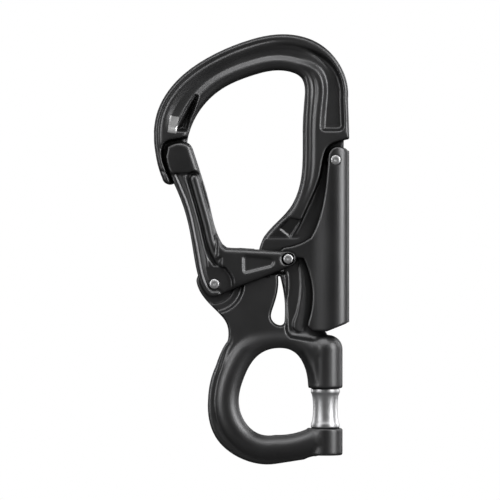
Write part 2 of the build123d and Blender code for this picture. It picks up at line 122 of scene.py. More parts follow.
class Field:
    """A grid round a node, with room for its surface, that fields are worked out on."""

    def __init__(self, node, pitch, margin=1.6):
        low, high = (np.array(corner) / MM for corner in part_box(node))
        self.pitch = pitch
        self.low = low - margin
        count = np.ceil((high + margin - self.low) / pitch).astype(int) + 1
        self.x, self.y, self.z = (
            self.low[axis] + pitch * np.arange(count[axis]) for axis in range(3)
        )
        self.depth = np.abs(self.y)[None, :, None]
        self.xz = np.meshgrid(self.x, self.z, indexing="ij")
        self.triangles = node_triangles(node)

    def gap(self, starts, ends):
        """Distance to segments, and whether each place is inside the loops they make."""
        px, pz = (grid.ravel() for grid in self.xz)
        near = np.full(px.shape, 1e9)
        inside = np.zeros(px.shape, bool)
        for (ax, az), (bx, bz) in zip(starts, ends):
            dx, dz = bx - ax, bz - az
            size = dx * dx + dz * dz
            if size < 1e-12:
                continue
            along = np.clip(((px - ax) * dx + (pz - az) * dz) / size, 0, 1)
            gap = (px - ax - along * dx) ** 2 + (pz - az - along * dz) ** 2
            np.minimum(near, gap, out=near)
            if az != bz:
                rows = (pz >= min(az, bz)) & (pz < max(az, bz))
                inside ^= rows & (px < ax + (pz - az) * dx / dz)
        shape = self.xz[0].shape
        return np.sqrt(near).reshape(shape), inside.reshape(shape)

    def cut(self, depth):
        """Signed distance in the XZ plane to the node's flat cut, negative inside it."""
        near, inside = self.gap(*flat_cut(self.triangles, depth))
        return np.where(inside, -near, near)

    def edges_near(self, depth, centre):
        """Distances to the part of a flat cut that faces a centre, and to the rest of it."""
        starts, ends = short_pieces(*flat_cut(self.triangles, depth))
        offset = (starts + ends) / 2 - centre
        radius = np.hypot(*offset.T)
        bearing = (np.arctan2(offset[:, 1], offset[:, 0]) * 90 / math.pi).astype(int) % 180
        nearest = np.full(180, 1e9)
        np.minimum.at(nearest, bearing, radius)
        spread = np.minimum(nearest, np.minimum(np.roll(nearest, 1), np.roll(nearest, -1)))
        first = radius < spread[bearing] + 2.0
        return (
            self.gap(starts[first], ends[first])[0],
            self.gap(starts[~first], ends[~first])[0],
        )

    def area(self, points):
        """Signed distance to a closed outline of points, negative inside it."""
        places = np.array(points, float)
        near, inside = self.gap(places, np.roll(places, -1, 0))
        return np.where(inside, -near, near)

    def line(self, points):
        """Distance to a smooth curve through points."""
        places = smooth_curve(points)
        return self.gap(places[:-1], places[1:])[0]


def ramp(distance, width, shift=0.0):
    """1 well inside a region, 0 well outside it, turning over across its edge."""
    t = np.clip(0.5 - (distance + shift) / (2 * width), 0, 1)
    return t * t * (3 - 2 * t)


def bump(value, middle, width):
    return np.exp(-(((value - middle) / width) ** 2))


def round_join(edge, face, radius):
    """The rounded meeting of two distances, for a slab's outline and its face."""
    one, two = edge + radius, face + radius
    outer = np.hypot(np.maximum(one, 0), np.maximum(two, 0))
    return np.minimum(np.maximum(one, two), 0) + outer - radius


def soft_union(one, two, width):
    mix = np.clip(0.5 + 0.5 * (two - one) / width, 0, 1)
    return two + (one - two) * mix - width * mix * (1 - mix)


def soft_max(one, two, width):
    return -soft_union(-one, -two, width)


# ---- surface from a field ---------------------------------------------------------------


def sample(grid, places):
    """Trilinear values of a grid at places given in cells."""
    base = np.clip(np.floor(places).astype(int), 0, np.array(grid.shape) - 2)
    part = places - base
    total = 0
    for dx in (0, 1):
        for dy in (0, 1):
            for dz in (0, 1):
                weight = (
                    np.where(dx, part[:, 0], 1 - part[:, 0])
                    * np.where(dy, part[:, 1], 1 - part[:, 1])
                    * np.where(dz, part[:, 2], 1 - part[:, 2])
                )
                total = total + weight * grid[base[:, 0] + dx, base[:, 1] + dy, base[:, 2] + dz]
    return total


def surface(grid):
    """Corners, in cells, and quads of the surface where a grid changes sign."""
    inside = grid < 0
    cells = tuple(size - 1 for size in grid.shape)
    total = np.zeros((3, *cells), np.float32)
    count = np.zeros(cells, np.float32)
    crossings = []
    for axis in range(3):
        first = [slice(None)] * 3
        second = [slice(None)] * 3
        first[axis], second[axis] = slice(0, -1), slice(1, None)
        one, two = grid[tuple(first)], grid[tuple(second)]
        crossed = inside[tuple(first)] != inside[tuple(second)]
        part = np.where(crossed, one / np.where(crossed, one - two, 1), 0).astype(np.float32)
        crossings.append((crossed, inside[tuple(first)]))
        others = [other for other in range(3) if other != axis]
        for step in (0, 1):
            for leap in (0, 1):
                window = [slice(None)] * 3
                window[others[0]] = slice(step, cells[others[0]] + step)
                window[others[1]] = slice(leap, cells[others[1]] + leap)
                here = crossed[tuple(window)]
                count += here
                total[axis] += part[tuple(window)]
                total[others[0]] += here * step
                total[others[1]] += here * leap
    used = count > 0
    number = np.full(cells, -1, np.int64)
    number[used] = np.arange(used.sum())
    corner = np.argwhere(used) + (total[:, used] / count[used]).T
    quads = []
    for axis, (crossed, inner) in enumerate(crossings):
        other, last = (axis + 1) % 3, (axis + 2) % 3
        window = [slice(None)] * 3
        window[other], window[last] = slice(1, -1), slice(1, -1)
        spots = np.argwhere(crossed[tuple(window)])
        spots[:, other] += 1
        spots[:, last] += 1
        way = inner[tuple(spots.T)]
        ring = []
        for back, side in ((1, 1), (0, 1), (0, 0), (1, 0)):
            cell = spots.copy()
            cell[:, other] -= back
            cell[:, last] -= side
            ring.append(number[tuple(cell.T)])
        ring = np.stack(ring, 1)
        ring[~way] = ring[~way][:, ::-1]
        quads.append(ring)
    return corner, np.concatenate(quads)


def settle(grid, corner, rounds=3):
    """Moves corners onto the surface itself."""
    for _ in range(rounds):
        value = sample(grid, corner)
        slope = np.stack(
            [
                sample(grid, corner + step) - sample(grid, corner - step)
                for step in 0.5 * np.eye(3)
            ],
            1,
        )
        move = slope * (value / np.maximum((slope**2).sum(1), 1e-6))[:, None]
        corner = corner - np.clip(move, -0.4, 0.4)
    return corner


def carve(name, field, solid):
    """A mesh object of the surface of a solid's field."""
    grid = solid.astype(np.float32)
    corner, quads = surface(grid)
    corner = settle(grid, corner)
    places = (field.low + corner * field.pitch) * MM
    mesh = bpy.data.meshes.new(name)
    mesh.from_pydata(places.tolist(), [], quads.tolist())
    mesh.polygons.foreach_set("use_smooth", np.ones(len(quads), bool))
    mesh.update()
    made = bpy.data.objects.new(name, mesh)
    bpy.context.scene.collection.objects.link(made)
    print(name, len(quads) * 2, "triangles")
    return made


def columns(plan):
    """A plan field spread over the depth."""
    return plan[:, None, :]


# ---- forged frame -----------------------------------------------------------------------
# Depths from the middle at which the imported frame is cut, for the edges of its steps.
OUTLINE_CUT, DEEP_CUT, SUNK_CUT, PLATE_CUT, FULL_CUT = 2.05, 2.4, 2.75, 4.0, 5.3
# Half thicknesses: the band sunk for the gate's arm, the step in it, the crescent's crest, the
# plate, and the hook and the eye's bar.
SUNK, STEPPED, CREST, PLATE, THICK = 2.2, 2.9, 2.95, 4.6, 6.0
LANYARD_EYE = (0.0, 16.5)
BASKET = (-9.0, 108.0)
RIDGE = [(28.0, 114.4), (24.8, 113.2), (20.5, 111.2), (18.6, 107.4), (17.5, 101.4), (14.2, 91.8),
         (9.5, 81.7), (7.0, 77.4)]
CHANNEL_FOOT = 116.2
CRESCENT = [(8.9, 70.0), (9.3, 64.0), (9.7, 58.2), (9.3, 52.7), (8.2, 47.0), (6.9, 43.6),
            (7.0, 41.2), (8.6, 39.8), (10.6, 40.3), (11.9, 42.2), (14.6, 46.0), (16.5, 56.0),
            (14.0, 68.0), (11.0, 71.0), (8.9, 70.0)]
NOSE_RECESS = [(-30.3, 130.2), (-31.6, 125.6), (-33.2, 121.5), (-34.2, 117.6), (-37.2, 117.6),
               (-35.6, 121.0), (-33.4, 125.4)]
NOSE_LINE = [(-44.4, 101.6), (-41.0, 101.0), (-38.0, 101.4)]
FOOT_POCKET = [(5.6, 76.4), (1.6, 79.6), (5.4, 83.8), (9.9, 82.8)]
EYE_GROOVE = [(9.6, 31.0), (11.6, 27.0), (13.4, 22.5), (14.5, 18.5)]
SPINE_FOOT = 75.8
# The eye: the middle of its bar from the inner edge, half the bar's width, and its flange.
BAR_MIDDLE, BAR_HALF, FLANGE_LOW, FLANGE_HIGH = 5.0, 5.6, 4.5, 4.0
# The screw bosses: how far they stay from the trigger and the screw's head, their roundings,
# and the bore and the counterbore with their run-out.
TRIGGER_ROOM, HEAD_ROOM, TOP_DOME, LOW_ROUND, JOIN_WIDTH = 1.4, 0.6, 5.6, 0.7, 1.4
BORE_R, BORE_RUN_OUT, COUNTERBORE_R, COUNTERBORE_DEPTH, SPACER_ROOM = 2.6, 0.5, 4.1, 3.2, 0.05


def mix(one, two, part):
    return one + (two - one) * part


def torus(distance, middle, width, rise):
    """The height of a rounded bar whose crest runs a distance from an edge."""
    across = np.clip(np.abs(distance - middle) / width, 0, 1)
    return rise * np.sqrt(1 - across**2)


def plate_height(field):
    """The half thickness of the band sunk for the gate's arm, and of the plate round it."""
    px, pz = field.xz
    deep, sunk, plate = (field.cut(level) for level in (DEEP_CUT, SUNK_CUT, PLATE_CUT))
    low = SUNK + (STEPPED - SUNK) * ramp(deep, 0.4) * ramp(sunk, 0.4)
    # a crescent stands in the sunk band beside the slot, lower towards the trigger
    tilted = CREST - 0.2 * np.clip(px - 9.0, -1, 7)
    crescent = mix(SUNK, tilted, ramp(field.area(smooth_curve(CRESCENT)), 0.5))
    low = np.where((px > 2.5) & (pz > 35) & (pz < 72), crescent, low)
    return low, mix(low, PLATE, ramp(plate, 0.9))


def hook_height(field, low, outline, basket_gap, hook_gap, foot):
    """The half thickness of the hook and the spine, with the forged relief on them."""
    px, pz = field.xz
    thick = np.where(pz > CHANNEL_FOOT, outline - 1, field.cut(FULL_CUT))
    hook = mix(low, THICK, ramp(thick, 0.5))
    spine = ramp(14 - px, 7.0) * ramp(pz - 152, 14.0)

    # the channel along the crown and down the spine, fading out above the nose
    outer = mix(4.9, 2.3, spine) - hook_gap
    inner = mix(4.6, 7.9, spine) - basket_gap
    lower = CHANNEL_FOOT + 1.2 - pz
    channel = np.hypot(np.maximum(outer + 2, 0), np.maximum(lower + 2, 0)) - 2
    channel = np.hypot(np.maximum(channel + 1, 0), np.maximum(inner + 1, 0)) - 1
    fade = mix(ramp(120 - pz, 7.0), 1, ramp(-px, 1.0))
    hook -= mix(1.3, 2.0, spine) * ramp(channel, mix(1.6, 1.0, spine)) * fade
    hook += 0.3 * bump(channel, 1.3, 0.6) * spine * ramp(outer - 1.0, 1.0)

    # the rim's grooves, the crease behind the basket's bead, and the recess above the nose
    crease = mix(2.2, 4.3, spine)
    hook -= 0.5 * ramp(basket_gap - crease + 0.6, 0.8) * spine
    grooves = (
        (0.45, hook_gap, 2.2, 0.55, ramp(px - 2, 14.0) * ramp(110 - pz, 8.0)),
        (0.5, hook_gap, 4.3, 0.7, ramp(-px, 6.0) * ramp(142 - pz, 4.0)),
        (1.5, basket_gap, crease, 0.85, spine * ramp(82 - pz, 2.0)),
    )
    for depth, gap, middle, width, where in grooves:
        hook -= depth * bump(gap, middle, width) * where
    hook = mix(hook, 2.7, ramp(field.area(NOSE_RECESS) - 0.2, 1.0))
    hook -= 0.6 * bump(field.line(NOSE_LINE), 0.0, 0.5)

    # the spine's foot falls away to the plate
    hook = mix(hook, np.minimum(hook, 2.3 + 0.5 * np.maximum(pz - SPINE_FOOT, 0)), foot)
    return np.minimum(hook, THICK)


def eye_height(field, eye_gap, ring_gap):
    """The half thickness of the eye: a round bar, and the flange outside it."""
    px, pz = field.xz
    bar = torus(eye_gap, BAR_MIDDLE, BAR_HALF, THICK)
    flange = mix(FLANGE_LOW, FLANGE_HIGH, ramp(pz - 28, 8.0))
    step = mix(1.2, 3.3, ramp(pz - 27, 12.0))
    flange -= 0.5 * bump(ring_gap, step, 0.55) * ramp(px - 8, 2.0)
    return np.minimum(soft_max(bar, flange, 0.7), THICK)


def barrel(from_axis, z, low, high, radius, edge):
    """An upright round boss between two levels, with rounded edges."""
    return round_join(from_axis - radius, np.abs(z - (low + high) / 2) - (high - low) / 2, edge)


def screw_bosses(field, solid):
    """The frame with the two bosses of the eye, room for the spacer, and the screw's bores."""
    spacer_low, spacer_high = (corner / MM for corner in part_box("eye_spacer"))
    screw_low, screw_high = (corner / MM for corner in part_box("eye_screw"))
    screw_x = (spacer_low.x + spacer_high.x) / 2
    boss_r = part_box("frame")[1].y / MM
    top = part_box("trigger")[0].z / MM - TRIGGER_ROOM
    x, y, z = field.x[:, None, None], field.y[None, :, None], field.z[None, None, :]
    from_axis = np.hypot(x - screw_x, y)
    upper = barrel(from_axis, z, spacer_high.z, top, boss_r, 0.8)
    over = (np.maximum(gap + TOP_DOME, 0) for gap in (from_axis - boss_r, z - top))
    dome = np.where(z > top - TOP_DOME, np.hypot(*over) - TOP_DOME, -1.0)
    lower = barrel(from_axis, z, screw_low.z - HEAD_ROOM, spacer_low.z, boss_r, LOW_ROUND)
    bosses = np.minimum(np.maximum(upper, dome), lower)
    # below the bosses' top nothing of the flat forging reaches past the screw's axis
    beyond = np.where(z < top + 0.6, x - screw_x, -9.0)
    solid = soft_union(np.maximum(solid, beyond), bosses, JOIN_WIDTH)
    gap = np.maximum(spacer_low.z - SPACER_ROOM - z, z - spacer_high.z - SPACER_ROOM)
    solid = np.maximum(solid, -np.maximum(gap, screw_x - boss_r + 0.4 - x))
    bore = np.maximum(from_axis - BORE_R, z - screw_high.z - BORE_RUN_OUT)
    counterbore = np.maximum(from_axis - COUNTERBORE_R, z - screw_low.z - COUNTERBORE_DEPTH)
    return np.maximum(solid, -np.minimum(bore, counterbore))


def forged_frame():
    field = Field("frame", 0.42)
    px, pz = field.xz
    outline = field.cut(OUTLINE_CUT)
    basket_gap, hook_gap = field.edges_near(OUTLINE_CUT, BASKET)
    eye_gap, ring_gap = field.edges_near(OUTLINE_CUT, LANYARD_EYE)
    foot = ramp(px - 10, 2.0)
    in_hook = ramp(mix(78.0, 76.0, foot) - pz, mix(0.5, 0.8, foot))
    in_eye = ramp(pz - 37.0, 4.0)

    low, height = plate_height(field)
    hook = hook_height(field, low, outline, basket_gap, hook_gap, foot)
    height = mix(height, hook, in_hook)
    height -= 0.9 * ramp(field.area(FOOT_POCKET), 0.4)
    height = mix(height, eye_height(field, eye_gap, ring_gap), in_eye)
    height -= 0.9 * bump(field.line(EYE_GROOVE), 0.0, 1.1)

    # the edges are rounder on the hook, and roundest inside it
    radius = 1.0 + 0.8 * in_hook + 0.9 * ramp(basket_gap - hook_gap, 1.5) * in_hook
    radius = mix(radius, 0.8, ramp(field.line(RIDGE) - 1.8, 0.8))
    radius = mix(radius, 1.4, in_eye)
    radius = np.minimum(radius, 0.8 * height)
    solid = round_join(columns(outline), field.depth - columns(height), columns(radius))
    return carve("forged_frame", field, screw_bosses(field, solid))


# ---- gate -------------------------------------------------------------------------------
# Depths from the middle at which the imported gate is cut: its web, low cheeks, the step round
# the pivot, its thumb pad and its high arm.
WEB_CUT, LOW_CUT, CHEEK_CUT, PAD_CUT, ARM_CUT = 0.5, 4.0, 5.05, 5.6, 6.5
# Half widths over the cheeks, the hub, the pad and the arm, and of the channel inside them.
CHEEKS, HUB, PAD, ARM, CHANNEL, PIVOT_CHANNEL = 5.1, 5.15, 6.05, 6.9, 3.2, 4.95
BAR = [(-31.2, 98.6), (-28.7, 89.7), (-26.4, 81.5), (-24.6, 74.0), (-22.6, 69.0), (-20.6, 66.0)]
BEAD = [(-34.8, 99.4), (-31.5, 89.6), (-29.0, 80.0), (-27.0, 70.0), (-26.2, 64.6)]
LEFT_EDGE = [(-42.4, 106.9), (-40.9, 101.3), (-37.8, 94.1), (-34.7, 85.7), (-32.0, 73.0),
             (-30.1, 62.6), (-28.1, 56.9), (-25.4, 53.7), (-22.8, 53.5)]
BAR_R, BAR_FOOT, BAR_RISE = 1.9, 4.1, 1.75
HUB_PLACE, HUB_R = (LEFT_EDGE[-1][0] - 0.7, 58.25), 7.0


def forged_gate():
    field = Field("gate", 0.3)
    px, pz = field.xz
    web, low_cheek, all_cheek = (field.cut(level) for level in (WEB_CUT, LOW_CUT, CHEEK_CUT))
    pad, arm = field.cut(PAD_CUT), field.cut(ARM_CUT)
    outline = np.minimum(np.minimum(low_cheek, all_cheek), web)

    # a bead along the left edge, a thin bead beside it, and a rounded bar in its own trough
    edge = field.line(LEFT_EDGE)
    cheek = CHEEKS - 0.6 * bump(edge, 2.4, 0.7)
    bar = field.line(BAR)
    trough = ramp(bar - 2.9, 0.7)
    cheek -= 0.9 * trough
    crest = BAR_FOOT + BAR_RISE * np.sqrt(1 - np.minimum(bar / BAR_R, 1) ** 2)
    cheek = np.maximum(cheek, np.where(bar < BAR_R, crest, 0))
    cheek += 0.3 * bump(field.line(BEAD), 0.0, 0.5) * (1 - trough)
    hub = ramp(np.hypot(px - HUB_PLACE[0], pz - HUB_PLACE[1]) - HUB_R, 0.5)
    cheek = mix(cheek, np.where(edge > 3.4, HUB, np.minimum(cheek, HUB)), hub)
    height = mix(cheek, PAD, ramp(np.maximum(pad, -(bar - 3.0)), 0.6))
    height = mix(height, ARM, ramp(arm, 0.85))
    right = ramp(LEFT_EDGE[0][0] + 6.0 - px, 2.5)
    radius = mix(0.9, mix(1.3, 2.6, right), ramp(pad - 2.5, 2.0))
    radius = np.minimum(radius, height - CHANNEL - 0.1)
    solid = round_join(columns(outline), field.depth - columns(height), columns(radius))
    pivot = np.minimum(web, -np.maximum(all_cheek, -low_cheek))
    for inside, half in ((web, CHANNEL), (pivot, PIVOT_CHANNEL)):
        solid = np.maximum(solid, np.minimum(columns(inside), half - field.depth))
    return carve("forged_gate", field, solid)


# ---- trigger ----------------------------------------------------------------------------
# Half widths of the trigger at its back and over its lugs, how far its lugs' step is from the
# back, and the rounding of the palm edge: how far it reaches and how much it takes off.
BACK_HALF, LUG_RISE, LUG_STEP, PALM_REACH, PALM_DROP, PALM_FLAT = 4.7, 1.75, 11.0, 6.5, 5.2, 1.25


def forged_trigger():
    field = Field("trigger", 0.33)
    px = field.xz[0]
    cheek, web = field.cut(3.9), field.cut(WEB_CUT)
    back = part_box("trigger")[1].x / MM
    height = BACK_HALF + LUG_RISE * ramp(back - LUG_STEP - px, 4.6)
    across = np.clip((px - back + PALM_REACH - 0.1) / PALM_REACH, 0, 1)
    height = np.minimum(height, PALM_FLAT + PALM_DROP * np.sqrt(1 - across**2))
    radius = np.minimum(0.8, 0.8 * height)
    face = field.depth - columns(height)
    solid = round_join(columns(np.minimum(cheek, web)), face, columns(radius))
    solid = np.maximum(solid, np.minimum(columns(web), CHANNEL - field.depth))
    return carve("forged_trigger", field, solid)


# ---- turned pieces ----------------------------------------------------------------------


def turn(name, profile, centre, steps=96):
    """A piece turned round Z from a closed (radius, along) profile in millimetres."""
    angles = np.linspace(0, 2 * math.pi, steps, endpoint=False)
    radius, along = np.array(profile, float).T
    across = radius[:, None] * np.cos(angles), radius[:, None] * np.sin(angles)
    level = np.repeat(along[:, None], steps, 1)
    places = np.stack((across[0], across[1], level), -1).reshape(-1, 3) + np.array(centre)
    quads = []
    for row in range(len(profile)):
        first, second = row * steps, (row + 1) % len(profile) * steps
        for step in range(steps):
            after = (step + 1) % steps
            quads.append((first + step, first + after, second + after, second + step))
    mesh = bpy.data.meshes.new(name)
    mesh.from_pydata((places * MM).tolist(), [], quads)
    mesh.validate()
    mesh.polygons.foreach_set("use_smooth", np.ones(len(mesh.polygons), bool))
    mesh.update()
    made = bpy.data.objects.new(name, mesh)
    bpy.context.scene.collection.objects.link(made)
    return made


def reckon(tree, operation, one, two=0.0):
    """What a Math node makes of sockets or numbers."""
    made = tree.nodes.new("ShaderNodeMath")
    made.operation = operation
    for socket, value in zip(made.inputs, (one, two)):
        if isinstance(value, (int, float)):
            socket.default_value = value
        else:
            tree.links.new(value, socket)
    return made.outputs[0]


def curve_through(tree, factor, values):
    """A Float Curve node that gives a rivet's rings their values, from the shank outwards."""
    made = tree.nodes.new("ShaderNodeFloatCurve")
    points = made.mapping.curves[0].points
    last = 2 * len(values) - 1
    for ring, value in enumerate(values):
        spot = ((2 * ring + 1) / last, value)
        if ring in (0, len(values) - 1):
            points[0 if ring == 0 else -1].location = spot
        else:
            points.new(*spot)
    for point in points:
        point.handle_type = "VECTOR"
    made.mapping.update()
    tree.links.new(factor, made.inputs["Value"])
    return made.outputs[0]


# A rivet's rings from its shank to the dimple in its crown: share of the radius, and millimetres
# below the crown.
RIVET_RINGS = ((0.74, 0.9), (0.74, 0.7), (1.0, 0.7), (1.0, 0.4), (0.95, 0.25), (0.82, 0.12),
               (0.6, 0.03), (0.29, 0.0), (0.16, 0.12), (0.01, 0.14))
RIVET_SIDES = 72


def rivet_tree():
    """Geometry nodes for a domed rivet along Y, with one head or two."""
    tree = bpy.data.node_groups.new("domed_rivet", "GeometryNodeTree")
    wanted = (("Radius", "Float"), ("Length", "Float"), ("Both Heads", "Bool"),
              ("Centre", "Vector"), ("Turn", "Vector"), ("Finish", "Material"))
    for label, kind in wanted:
        tree.interface.new_socket(label, in_out="INPUT", socket_type="NodeSocket" + kind)
    tree.interface.new_socket("Geometry", in_out="OUTPUT", socket_type="NodeSocketGeometry")
    given = tree.nodes.new("NodeGroupInput").outputs
    blank = tree.nodes.new("GeometryNodeMeshCylinder")
    for label, value in (("Vertices", RIVET_SIDES), ("Side Segments", 2 * len(RIVET_RINGS) - 1),
                         ("Radius", 1.0), ("Depth", 1.0)):
        blank.inputs[label].default_value = value
    place = tree.nodes.new("ShaderNodeSeparateXYZ")
    tree.links.new(tree.nodes.new("GeometryNodeInputPosition").outputs[0], place.inputs[0])
    x, y, z = place.outputs
    away = reckon(tree, "ABSOLUTE", reckon(tree, "MULTIPLY", z, 2.0))
    share = curve_through(tree, away, [ring[0] for ring in RIVET_RINGS])
    below = curve_through(tree, away, [ring[1] for ring in RIVET_RINGS])
    headed = reckon(tree, "MAXIMUM", reckon(tree, "GREATER_THAN", z), given["Both Heads"])
    # an end without a head is a plain shank, and its rings are spread evenly
    plain, depth = RIVET_RINGS[0]
    even = reckon(tree, "MULTIPLY", reckon(tree, "SUBTRACT", 1.0, away), depth)
    swell = reckon(tree, "MULTIPLY", reckon(tree, "SUBTRACT", share, plain), headed)
    drop = reckon(tree, "MULTIPLY", reckon(tree, "SUBTRACT", below, even), headed)
    below = reckon(tree, "ADD", drop, even)
    radius = reckon(tree, "MULTIPLY", reckon(tree, "ADD", swell, plain), given["Radius"])
    half = reckon(tree, "MULTIPLY", given["Length"], 0.5)
    reach = reckon(tree, "SUBTRACT", half, reckon(tree, "MULTIPLY", below, MM))
    spot = tree.nodes.new("ShaderNodeCombineXYZ")
    tree.links.new(reckon(tree, "MULTIPLY", x, radius), spot.inputs[0])
    tree.links.new(reckon(tree, "MULTIPLY", y, radius), spot.inputs[1])
    tree.links.new(reckon(tree, "MULTIPLY", reckon(tree, "SIGN", z), reach), spot.inputs[2])
    shaped = tree.nodes.new("GeometryNodeSetPosition")
    tree.links.new(blank.outputs["Mesh"], shaped.inputs["Geometry"])
    tree.links.new(spot.outputs[0], shaped.inputs["Position"])
    seat = tree.nodes.new("GeometryNodePoints")
    tree.links.new(given["Centre"], seat.inputs["Position"])
    placed = tree.nodes.new("GeometryNodeInstanceOnPoints")
    tree.links.new(seat.outputs[0], placed.inputs["Points"])
    tree.links.new(shaped.outputs[0], placed.inputs["Instance"])
    tree.links.new(given["Turn"], placed.inputs["Rotation"])
    real = tree.nodes.new("GeometryNodeRealizeInstances")
    tree.links.new(placed.outputs[0], real.inputs[0])
    coated = tree.nodes.new("GeometryNodeSetMaterial")
    tree.links.new(real.outputs[0], coated.inputs["Geometry"])
    tree.links.new(given["Finish"], coated.inputs["Material"])
    tree.links.new(coated.outputs[0], tree.nodes.new("NodeGroupOutput").inputs["Geometry"])
    return tree


def rivet(tree, name, replaced, material):
    """A packed rivet's or lock stud's own size and place, made by the rivet nodes."""
    low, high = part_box(replaced)
    outward = -1 if high.y < -low.y else 1
    made = bpy.data.objects.new(name, bpy.data.meshes.new(name))
    bpy.context.scene.collection.objects.link(made)
    modifier = made.modifiers.new("rivet", "NODES")
    modifier.node_group = tree
    values = {
        "Radius": (high.x - low.x) / 2,
        "Length": high.y - low.y,
        "Both Heads": bool(low.y < 0 < high.y),
        "Centre": list((low + high) / 2),
        "Turn": [-outward * math.pi / 2, 0.0, 0.0],
        "Finish": material,
    }
    for item in tree.interface.items_tree:
        if item.in_out == "INPUT":
            modifier[item.identifier] = values[item.name]
    shaped = made.evaluated_get(bpy.context.evaluated_depsgraph_get())
    mesh = bpy.data.meshes.new_from_object(shaped)
    made.modifiers.remove(modifier)
    made.data = mesh
    mesh.polygons.foreach_set("use_smooth", np.ones(len(mesh.polygons), bool))
    return made


# The spacer: its end collars' height, how much its waist is taken in and how round that is,
# its edges' rounding in radius and height, its bore, and the steps in its profile.
COLLAR, WAIST, WAIST_POWER, LIP_DROP, LIP_HEIGHT, SPACER_BORE = 1.8, 0.85, 1.15, 0.3, 0.35, 2.55
SPACER_STEPS = 40


def turned_spacer():
    low, high = (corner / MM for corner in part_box("eye_spacer"))
    end, half = (high.x - low.x) / 2, (high.z - low.z) / 2
    outer = []
    for step in range(SPACER_STEPS + 1):
        along = (step / SPACER_STEPS * 2 - 1) * half
        neck = min(abs(along) / (half - COLLAR), 1.0)
        radius = end - WAIST * math.sqrt(max(1 - neck**2, 0.0)) ** WAIST_POWER
        lip = min((half - abs(along)) / LIP_HEIGHT, 1.0)
        radius -= LIP_DROP * (1 - math.sqrt(max(1 - (1 - lip) ** 2, 0.0)))
        outer.append((radius, along))
    profile = outer + [(SPACER_BORE, half), (SPACER_BORE, -half)]
    centre = ((low.x + high.x) / 2, 0, (low.z + high.z) / 2)
    return turn("turned_spacer_body", profile, centre)


# ---- materials --------------------------------------------------------------------------


def new_material(name):
    material = bpy.data.materials.new(name)
    material.use_nodes = True
    tree = material.node_tree
    return material, tree, tree.nodes["Principled BSDF"]


def node(tree, kind, **values):
    made = tree.nodes.new(kind)
    for key, value in values.items():
        made.inputs[key].default_value = value
    return made


def finish(name, dark, light, roughness, edge, grain=0.05, cloud_scale=90.0):
    """A metal finish: two tones that drift, a grain, how bright it is when grazed, and painted
    shade in its crevices.
    """
    material, tree, shader = new_material(name)
    place = node(tree, "ShaderNodeTexCoord")
    cloud = node(tree, "ShaderNodeTexNoise", Scale=cloud_scale, Detail=4.0)
    speck = node(tree, "ShaderNodeTexNoise", Scale=2600.0, Detail=2.0)
    tone = tree.nodes.new("ShaderNodeValToRGB")
    tone.color_ramp.elements[0].color = (*dark, 1)
    tone.color_ramp.elements[1].color = (*light, 1)
    gloss = node(tree, "ShaderNodeMapRange")
    gloss.inputs["To Min"].default_value = roughness - 0.05
    gloss.inputs["To Max"].default_value = roughness + 0.06
    relief = node(tree, "ShaderNodeBump", Strength=grain, Distance=0.00005)
    for texture in (cloud, speck):
        tree.links.new(place.outputs["Object"], texture.inputs["Vector"])
    tree.links.new(cloud.outputs["Fac"], tone.inputs["Fac"])
    tree.links.new(cloud.outputs["Fac"], gloss.inputs["Value"])
    tree.links.new(speck.outputs["Fac"], relief.inputs["Height"])
    # painted shade: ambient occlusion darkens the colour in crevices, recesses and gaps between
    # parts, where shade falls
    painted_shade_ao = node(tree, "ShaderNodeAmbientOcclusion", Distance=0.0035)
    painted_shade_ao.samples = 8
    depth = node(tree, "ShaderNodeMapRange")
    for socket, value in zip(("From Min", "From Max", "To Min", "To Max"), (0.15, 0.8, 0.12, 1.0)):
        depth.inputs[socket].default_value = value
    shade = tree.nodes.new("ShaderNodeVectorMath")
    shade.operation = "SCALE"
    tree.links.new(painted_shade_ao.outputs["AO"], depth.inputs["Value"])
    tree.links.new(tone.outputs["Color"], shade.inputs[0])
    tree.links.new(depth.outputs["Result"], shade.inputs["Scale"])
    tree.links.new(shade.outputs["Vector"], shader.inputs["Base Color"])
    tree.links.new(gloss.outputs["Result"], shader.inputs["Roughness"])
    tree.links.new(relief.outputs["Normal"], shader.inputs["Normal"])
    shader.inputs["Metallic"].default_value = 1.0
    shader.inputs["Specular Tint"].default_value = (edge, edge, edge, 1)
    return material


def etched_patch(material, place, half_size, lean, pale):
    """A plain pale etched rectangle on a finish, inside a leaning box."""
    tree = material.node_tree
    colour = tree.nodes["Principled BSDF"].inputs["Base Color"]
    spot = node(tree, "ShaderNodeMapping", Location=place, Rotation=(0, lean, 0), Scale=half_size)
    spot.vector_type = "TEXTURE"
    across = tree.nodes.new("ShaderNodeVectorMath")
    across.operation = "ABSOLUTE"
    sides = tree.nodes.new("ShaderNodeSeparateXYZ")
    edge = node(tree, "ShaderNodeMapRange")
    for socket, value in (("From Min", 0.9), ("From Max", 1.0), ("To Min", 1.0), ("To Max", 0.0)):
        edge.inputs[socket].default_value = value
    coat = tree.nodes.new("ShaderNodeMix")
    coat.data_type = "RGBA"
    bare, etched = coat.inputs[6], coat.inputs[7]
    etched.default_value = (pale, pale, pale, 1)
    tree.links.new(node(tree, "ShaderNodeTexCoord").outputs["Object"], spot.inputs["Vector"])
    tree.links.new(spot.outputs[0], across.inputs[0])
    tree.links.new(across.outputs[0], sides.inputs[0])
    widest = reckon(tree, "MAXIMUM", sides.outputs[0], sides.outputs[2])
    widest = reckon(tree, "MAXIMUM", widest, sides.outputs[1])
    tree.links.new(widest, edge.inputs["Value"])
    tree.links.new(edge.outputs["Result"], coat.inputs["Factor"])
    tree.links.new(colour.links[0].from_socket, bare)
    tree.links.new(coat.outputs[2], colour)


